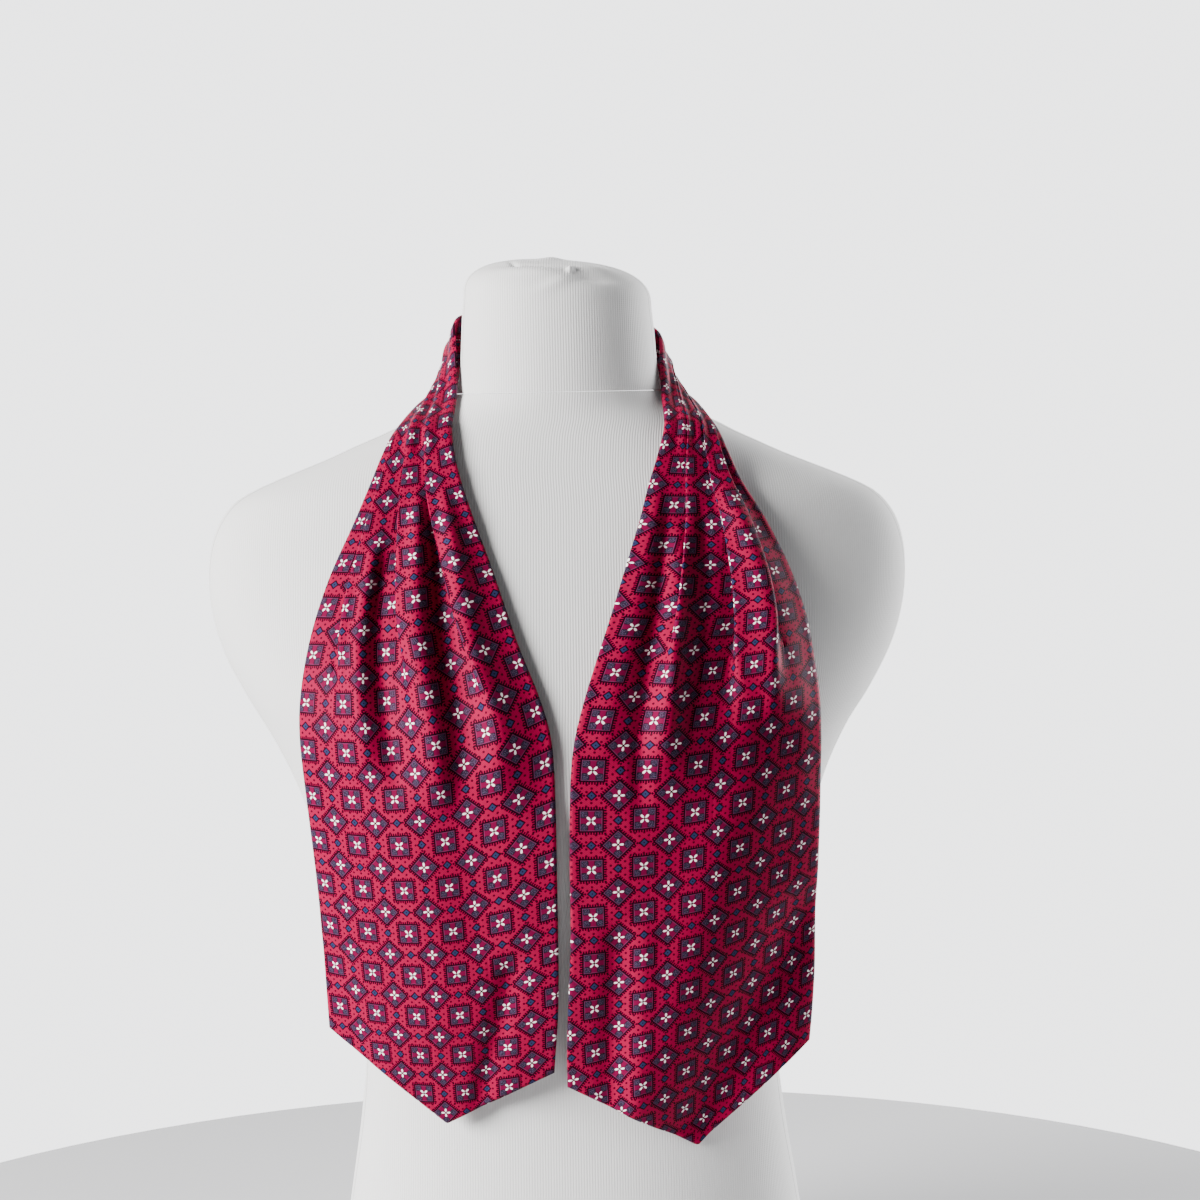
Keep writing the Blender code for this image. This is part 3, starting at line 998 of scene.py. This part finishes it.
# How the print lies on each blade, in cells, for each decimetre across and along from its middle
PrintLay = namedtuple("PrintLay", "start across along across_bow twist along_bow")
PRINT_COLUMNS = {
    "left": PrintLay(3.34, 3.35, -0.07, 0.31, -0.03, 0.05),
    "right": PrintLay(3.10, 3.34, -0.10, 0.30, -0.18, -0.07),
}
PRINT_ROWS = {
    "left": PrintLay(-8.11, 0.07, 3.47, -0.40, 0.20, -0.11),
    "right": PrintLay(-8.73, -0.70, 3.55, -0.22, 0.36, -0.01),
}
PRINT_MIDDLE_FLAT = 80.0
PRINT_MIDDLE_ALONG = -250.0
PRINT_BENDS_TO = 1.6


def print_cell(lay, flat, along):
    """The print's column or row number at a place on the cloth."""
    across = (flat - PRINT_MIDDLE_FLAT) / 100
    up = (along - PRINT_MIDDLE_ALONG) / 100
    bent = min(up, PRINT_BENDS_TO)
    straight = lay.start + lay.across * across + lay.along * up
    return straight + lay.across_bow * across**2 + lay.twist * across * bent + lay.along_bow * bent**2


def scaled(colour, factor, lift=0.0):
    """A colour made lighter or darker."""
    return tuple(value * factor + lift for value in colour)


def distance(across, along):
    """How far a place in the print lies from the middle of its motif."""
    return (across.squared() + along.squared()).root()


def paint_medallion(tree, colour, settings, across, along, speckle):
    """A toothed square with four corner lobes and a four petalled flower."""
    across_size = across.size()
    along_size = along.size()
    side = across_size.larger(along_size)
    beside = across_size.smaller(along_size)
    radius = distance(across, along)
    tooth = (beside / TOOTH_PITCH).from_nearest_whole().size().under(TOOTH_HALF_SHARE, 0.06)
    ring = (side - (MEDALLION_HALF + TOOTH_LENGTH / 2)).size().under(TOOTH_LENGTH / 2)
    lobe_across = (across_size - LOBE_MIDDLE).size()
    lobe_along = (along_size - LOBE_MIDDLE).size()
    lobe = distance(lobe_across.squared(), lobe_along.squared()).root()
    border = (side - (MEDALLION_HALF - BORDER_INSET)).size().under(BORDER_HALF_WIDTH)
    line = (side - MEDALLION_HALF - OUTLINE_OUTSET).size().under(OUTLINE_HALF_WIDTH)
    petal_along = (across_size + along_size) / math.sqrt(2) - PETAL_MIDDLE
    petal_across = (across_size - along_size) / math.sqrt(2)
    width = petal_along * PETAL_SPREAD + PETAL_HALF_WIDTH
    petal = (petal_along / PETAL_HALF_LENGTH).squared() + (petal_across / width).squared()
    layers = (
        (settings.outline, tooth * ring),
        (settings.core, side.under(MEDALLION_HALF)),
        (settings.lobe, lobe.under(LOBE_HALF, 0.25)),
        (settings.outline, (lobe - LOBE_EDGE).size().under(0.22, 0.15) * 0.55),
        (scaled(settings.lobe, 4.0, 0.02), lobe.under(LOBE_SPECKS_HALF, 0.5) * speckle),
        (LILAC, border * 0.8),
        (settings.outline, line),
        (settings.core, radius.under(CORE_RADIUS, 0.35) * 0.85),
        (settings.petal, petal.under(1.0, 0.16)),
        (OLIVE, radius.under(STAMEN_RADIUS, 0.15)),
    )
    return painted_layers(tree, colour, layers)


def paint_small_diamond(tree, colour, settings, across, along):
    """A small blue diamond with a dark outline and a dot in its middle."""
    spread = across.size() + along.size()
    layers = (
        (settings.outline, spread.under(DIAMOND_HALF, 0.2)),
        (settings.blue, spread.under(DIAMOND_FILL_HALF, 0.25)),
        (settings.outline, distance(across, along).under(DIAMOND_DOT_RADIUS, 0.2)),
    )
    return painted_layers(tree, colour, layers)


def silk_material(name, settings, side):
    """Printed silk twill: the pattern, its ribs and a soft sheen."""
    material, tree, shader = cloth_material(name)
    across, along, plain = texture_place(tree)
    repeat = settings.repeat / MM
    turned = across / repeat
    raised = along / repeat
    upright = (turned.from_nearest_whole() * repeat, raised.from_nearest_whole() * repeat)
    centred = (
        (turned + 0.5).from_nearest_whole() * repeat,
        (raised + 0.5).from_nearest_whole() * repeat,
    )
    leaning = (
        (centred[0] + centred[1]) / math.sqrt(2),
        (centred[1] - centred[0]) / math.sqrt(2),
    )
    speckle = noise(tree, plain, SPECKLES_PER_METRE, 1.0).faded(0.45, 0.62)
    twill = across * (TWILL_DIRECTION[0] * side) - along * TWILL_DIRECTION[1]
    rib = (twill * (2 * math.pi / TWILL_PITCH)).sine() * 0.5 + 0.5
    ground = painted(tree, settings.ground, scaled(settings.ground, 1.6, 0.004), rib * 0.55)
    column_dots = turned * (repeat / DOT_PITCHES[0])
    row_dots = raised * (repeat / DOT_PITCHES[1])
    for shift in (0.0, 0.5):
        dot_across = (column_dots * 0.5 + shift).from_nearest_whole() * (2 * DOT_PITCHES[0])
        dot_along = (row_dots + shift).from_nearest_whole() * DOT_PITCHES[1]
        dot = distance(dot_across, dot_along).under(DOT_RADIUS, 0.14)
        ground = painted(tree, ground, settings.pin_dot, dot)
    colour = paint_small_diamond(tree, ground, settings, centred[0], upright[1])
    colour = paint_small_diamond(tree, colour, settings, upright[0], centred[1])
    colour = paint_medallion(tree, colour, settings, *upright, speckle)
    colour = paint_medallion(tree, colour, settings, *leaning, speckle)
    tree.links.new(colour, shader.inputs["Base Color"])
    shader.inputs["Roughness"].default_value = 0.5
    shader.inputs["Specular IOR Level"].default_value = 0.06
    shader.inputs["Specular Tint"].default_value = (1.0, 0.12, 0.30, 1.0)
    shader.inputs["Sheen Weight"].default_value = 0.02
    shader.inputs["Sheen Roughness"].default_value = 0.35
    shader.inputs["Sheen Tint"].default_value = (1.0, 0.10, 0.25, 1.0)
    tree.links.new(bumped(tree, rib, 0.00006, 0.5), shader.inputs["Normal"])
    return material


# The jersey: one stitch's height, and the seam over the shoulders and down the sides, drawn as a dark
# line of painted shade where its groove would be
STITCH_PITCH = 1.3
SIDE_SEAM_Y = -1.75
SEAM_SHADE_HALF_WIDTH = 0.45


def knit_material(name, settings):
    """White ribbed jersey, with its fine vertical ribs, slight unevenness and a dark line of painted
    shade along its seam.
    """
    material, tree, shader = cloth_material(name)
    across, along, plain = texture_place(tree)
    rib = (across * (2 * math.pi * MM / settings.rib)).sine() * 0.5 + 0.5
    stitch = (along * (2 * math.pi / STITCH_PITCH) + rib * 2.0).sine() * 0.5 + 0.5
    wear = noise(tree, plain, 14.0, 3.0)
    place = tree.nodes.new("ShaderNodeTexCoord").outputs["Object"]
    depth = vector_parts(tree, place)[1] * (1 / MM)
    # Painted shade: a dark line along the seam, in place of the shade in its groove
    seam = (depth - SIDE_SEAM_Y).size().under(SEAM_SHADE_HALF_WIDTH, 0.25)
    layers = (
        (scaled(settings.cover, 0.88), rib * 0.5 + wear * 0.25),
        # the seam's painted shade, at four tenths of the cover's white
        (scaled(settings.cover, 0.4), seam),
    )
    colour = painted_layers(tree, settings.cover, layers)
    tree.links.new(colour, shader.inputs["Base Color"])
    shader.inputs["Roughness"].default_value = 0.82
    shader.inputs["Specular IOR Level"].default_value = 0.3
    shader.inputs["Sheen Weight"].default_value = 0.15
    shader.inputs["Sheen Roughness"].default_value = 0.5
    ribs = bumped(tree, rib * 0.8 + stitch * 0.2, 0.0003, 0.5)
    tree.links.new(ribs, shader.inputs["Normal"])
    return material


# The pieces


def build_half(half, settings):
    """One half of the cravat, from its pointed hem up to the middle of the nape."""
    grid = blade_grid(half) + band_grid(half)
    lengths = grain_lengths(grid)

    def texture_places(_, column, row):
        flat, along = grid[row][column][1], lengths[row][column]
        lays = (PRINT_COLUMNS[half.name], PRINT_ROWS[half.name])
        return [print_cell(lay, flat, along) * settings.repeat for lay in lays]

    mesh = sheet_mesh([[place for place, _ in row] for row in grid], texture_places)
    if half.side < 0:
        bmesh.ops.reverse_faces(mesh, faces=mesh.faces)
    material = silk_material(f"silk_{half.name}", settings, half.side)
    piece = new_piece(f"cravat_{half.name}", mesh, material, CLOTH_SHARP_DEGREES)
    solidify = piece.modifiers.new("wall", "SOLIDIFY")
    solidify.thickness = settings.wall
    solidify.offset = 0.0
    apply_modifiers(piece, CLOTH_SHARP_DEGREES)
    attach(piece, "root")
    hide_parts(f"neck_band_{half.name}", f"blade_{half.name}")
    return piece, lengths


def ring_grid(rings, count, lift):
    """Points round each ring, with the first one repeated at the end."""
    grid = []
    for ring in rings:
        row = []
        for column in range(count + 1):
            angle = 2 * math.pi * (column % count) / count
            row.append(form_point(ring, angle) + Vector((0, 0, lift)))
        grid.append(row)
    return grid


def ring_texture_places(grid):
    """Texture places that run along the surface from the middle of the front or the back."""
    count = len(grid[0]) - 1
    half = count // 2
    runs = []
    for row in grid:
        run = [0.0]
        for one, other in zip(row, row[1:]):
            run.append(run[-1] + (other - one).length)
        runs.append(run)

    def texture_places(first_column, column, row):
        run = runs[row]
        start, end = (0, half) if first_column < half else (half, count)
        middle = (run[start] + run[end]) / 2
        return (run[column] - middle) * MM, grid[row][column].z * MM

    return texture_places


def build_ringed(name, rings, lift, count, material, moved=None):
    """A closed skin through rings of the dress form."""
    grid = ring_grid(rings, count, lift)
    texture_places = ring_texture_places(grid)
    if moved is not None:
        grid = [[moved(place) for place in row] for row in grid]
    mesh = sheet_mesh(grid, texture_places)
    bmesh.ops.remove_doubles(mesh, verts=mesh.verts, dist=MERGE_DISTANCE)
    bmesh.ops.holes_fill(mesh, edges=[edge for edge in mesh.edges if edge.is_boundary])
    bmesh.ops.recalc_face_normals(mesh, faces=mesh.faces)
    return new_piece(name, mesh, material, FORM_SHARP_DEGREES)


# Where the cap's jersey is gathered: places on its front, seen from there
Wrinkle = namedtuple("Wrinkle", "x z half_length half_width turn_degrees height")
CAP_WRINKLES = table(
    Wrinkle,
    (9.4, 660.0, 2.2, 1.9, 0, 3.2),
    (-13, 664.0, 20, 1.5, -3, -2.0),
    (-13, 659.5, 22, 3.2, -3, 2.0),
    (-27, 666.0, 4.5, 1.3, -40, -1.6),
    (22, 655.0, 14, 3.2, -6, -3.2),
    (25, 661.0, 14, 2.8, -10, 2.2),
    (1, 651.0, 12, 3.6, 20, 1.4),
    (-3, 671.5, 7, 2.6, 0, 2.4),
)
WRINKLE_DIRECTION = Vector((0, -0.85, 0.5))


def wrinkled(place):
    """A point of the cap's front moved by the gathers."""
    height = 0.0
    for wrinkle in CAP_WRINKLES:
        turn = math.radians(wrinkle.turn_degrees)
        right = place.x - wrinkle.x
        up = place.z - wrinkle.z
        along = (right * math.cos(turn) + up * math.sin(turn)) / wrinkle.half_length
        beside = (up * math.cos(turn) - right * math.sin(turn)) / wrinkle.half_width
        height += wrinkle.height * math.exp(-along * along - beside * beside)
    front = smoothstep((CAP_RINGS[-1].middle - place.y) / 12)
    return place + WRINKLE_DIRECTION * height * front


def filled_rings(rings, tallest_step):
    """More rings between those of a table, so that no step is tall."""
    filled = [rings[0]]
    for ring, following in zip(rings, rings[1:]):
        steps = math.ceil((following.z - ring.z) / tallest_step)
        for step in range(1, steps + 1):
            z = ring.z + (following.z - ring.z) * step / steps
            filled.append(FormRing(z, *table_values(rings, z)))
    return filled


def dome_rings(count):
    """Rings from the top of the neck's side up over the rounded cap."""
    rim = CAP_RINGS[-1]
    rings = []
    for step in range(1, count + 1):
        angle = math.pi / 2 * step / count
        shrink = abs(math.cos(angle)) ** (2 / CAP_DOME_POWER) if step < count else 0.0
        rise = math.sin(angle) ** (2 / CAP_DOME_POWER)
        rings.append(
            FormRing(
                CAP_DOME_Z + rise * (CAP_TOP_Z - CAP_DOME_Z),
                rim.half_width * shrink,
                rim.middle + (rim.front - rim.middle) * shrink,
                rim.middle + (rim.back - rim.middle) * shrink,
                rim.middle,
                rim.shift,
            )
        )
    return rings


class CRAVAT_OT_halves(bpy.types.Operator):
    """Add the two silk halves of the cravat"""

    bl_idname = "cravat.halves"
    bl_label = "Silk cravat"

    def execute(self, context):
        settings = context.scene.cravat
        for half in HALVES:
            piece, lengths = build_half(half, settings)
            longest = max(lengths[-1]) - min(lengths[0])
            width = BLADE_WIDTH * MM
            area = sum(top - bottom for top, bottom in zip(lengths[-1], lengths[0])) / len(lengths[0])
            longest * MM
            width * area * MM
        return {"FINISHED"}


class CRAVAT_OT_form(bpy.types.Operator):
    """Add the knitted cover of the dress form's torso and its neck cap"""

    bl_idname = "cravat.form"
    bl_label = "Dress form"

    def execute(self, context):
        settings = context.scene.dress_form
        material = knit_material("jersey", settings)
        count = settings.points_round
        rings = filled_rings(TORSO_RINGS, TORSO_RING_STEP)
        torso = build_ringed("torso_cover", rings, 0.0, count, material)
        rings = filled_rings(CAP_RINGS, CAP_RING_STEP) + dome_rings(DOME_RINGS)
        cap = build_ringed("neck_cap_cover", rings, CAP_LIFT, count * 2, material, wrinkled)
        for piece, node in ((torso, "form_torso"), (cap, "form_neck_cap")):
            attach(piece, "root")
            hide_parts(node)
        return {"FINISHED"}


def add_soft_light(light):
    """A round area light that aims at the middle of the form."""
    data = bpy.data.lights.new(light.name, "AREA")
    data.shape = "DISK"
    data.size = light.size
    data.energy = light.power
    data.color = light.colour
    lamp = bpy.data.objects.new(light.name, data)
    aim = (Vector(LIGHTS_AIM) - Vector(light.place)).to_track_quat("-Z", "Y")
    lamp.matrix_world = Matrix.Translation(light.place) @ aim.to_matrix().to_4x4()
    bpy.context.scene.collection.objects.link(lamp)


def add_sky(scene, settings):
    """Dim light from all round, and a bright backdrop behind the form."""
    world = bpy.data.worlds.new("studio")
    world.use_nodes = True
    tree = world.node_tree
    background = tree.nodes["Background"]
    background.inputs["Color"].default_value = (0.98, 0.985, 1.0, 1.0)
    place = tree.nodes.new("ShaderNodeTexCoord").outputs["Generated"]
    backwards = vector_parts(tree, place)[1].faded(0.35, 0.92)
    strength = backwards * (settings.backdrop - settings.sky) + settings.sky
    tree.links.new(strength.socket, background.inputs["Strength"])
    scene.world = world


class CRAVAT_OT_studio(bpy.types.Operator):
    """Add the plain floor, the soft lights and the camera"""

    bl_idname = "cravat.studio"
    bl_label = "Studio"

    def execute(self, context):
        settings = context.scene.studio
        mesh = bmesh.new()
        bmesh.ops.create_circle(mesh, cap_ends=True, segments=96, radius=settings.floor_radius)
        bmesh.ops.translate(mesh, verts=mesh.verts, vec=(0, 0, -FLOOR_DROP))
        material, tree, shader = cloth_material("floor_paint")
        place = tree.nodes.new("ShaderNodeTexCoord").outputs["Object"]
        cloudy = noise(tree, place, 2.0, 3.0)
        darker = scaled(settings.floor_colour, 0.97)
        colour = painted(tree, settings.floor_colour, darker, cloudy)
        tree.links.new(colour, shader.inputs["Base Color"])
        shader.inputs["Roughness"].default_value = 0.9
        floor = new_piece("floor", mesh, material, FORM_SHARP_DEGREES)
        lights = (
            SoftLight("key", (-2.27, -1.18, 1.02), 1.4, settings.key_power, (1.0, 0.99, 0.98)),
            SoftLight("fill", (2.45, -0.85, 0.95), 1.5, 14.0, (0.95, 0.97, 1.0)),
            SoftLight("back", (1.95, 1.03, 0.90), 1.8, 115.0, (1.0, 1.0, 1.0)),
        )
        for light in lights:
            add_soft_light(light)
        add_sky(context.scene, settings)
        data = bpy.data.cameras.new("camera")
        data.sensor_fit = "HORIZONTAL"
        data.sensor_width = 36.0
        data.angle = 2 * HALF_VIEW
        camera = bpy.data.objects.new("camera", data)
        aim = Matrix.Rotation(math.pi / 2, 4, "X") @ Matrix.Rotation(CAMERA_ROLL, 4, "Z")
        camera.matrix_world = Matrix.Translation(CAMERA_PLACE) @ aim
        context.scene.collection.objects.link(camera)
        context.scene.camera = camera
        return {"FINISHED"}


class CRAVAT_PT_panel(bpy.types.Panel):
    """The cravat's operators and settings"""

    bl_idname = "CRAVAT_PT_panel"
    bl_label = "Cravat"
    bl_space_type = "VIEW_3D"
    bl_region_type = "UI"
    bl_category = "Cravat"

    def draw(self, context):
        groups = (
            ("cravat.studio", context.scene.studio),
            ("cravat.form", context.scene.dress_form),
            ("cravat.halves", context.scene.cravat),
        )
        for operator, settings in groups:
            self.layout.operator(operator)
            for name in settings.__annotations__:
                self.layout.prop(settings, name)


CLASSES = (
    CravatSettings,
    FormSettings,
    StudioSettings,
    CRAVAT_OT_halves,
    CRAVAT_OT_form,
    CRAVAT_OT_studio,
    CRAVAT_PT_panel,
)


def register():
    for each in CLASSES:
        bpy.utils.register_class(each)
    bpy.types.Scene.cravat = PointerProperty(type=CravatSettings)
    bpy.types.Scene.dress_form = PointerProperty(type=FormSettings)
    bpy.types.Scene.studio = PointerProperty(type=StudioSettings)


def unregister():
    del bpy.types.Scene.studio
    del bpy.types.Scene.dress_form
    del bpy.types.Scene.cravat
    for each in reversed(CLASSES):
        bpy.utils.unregister_class(each)


def main():
    register()
    bpy.ops.cravat.studio()
    bpy.ops.cravat.form()
    bpy.ops.cravat.halves()


if __name__ == "__main__":
    main()
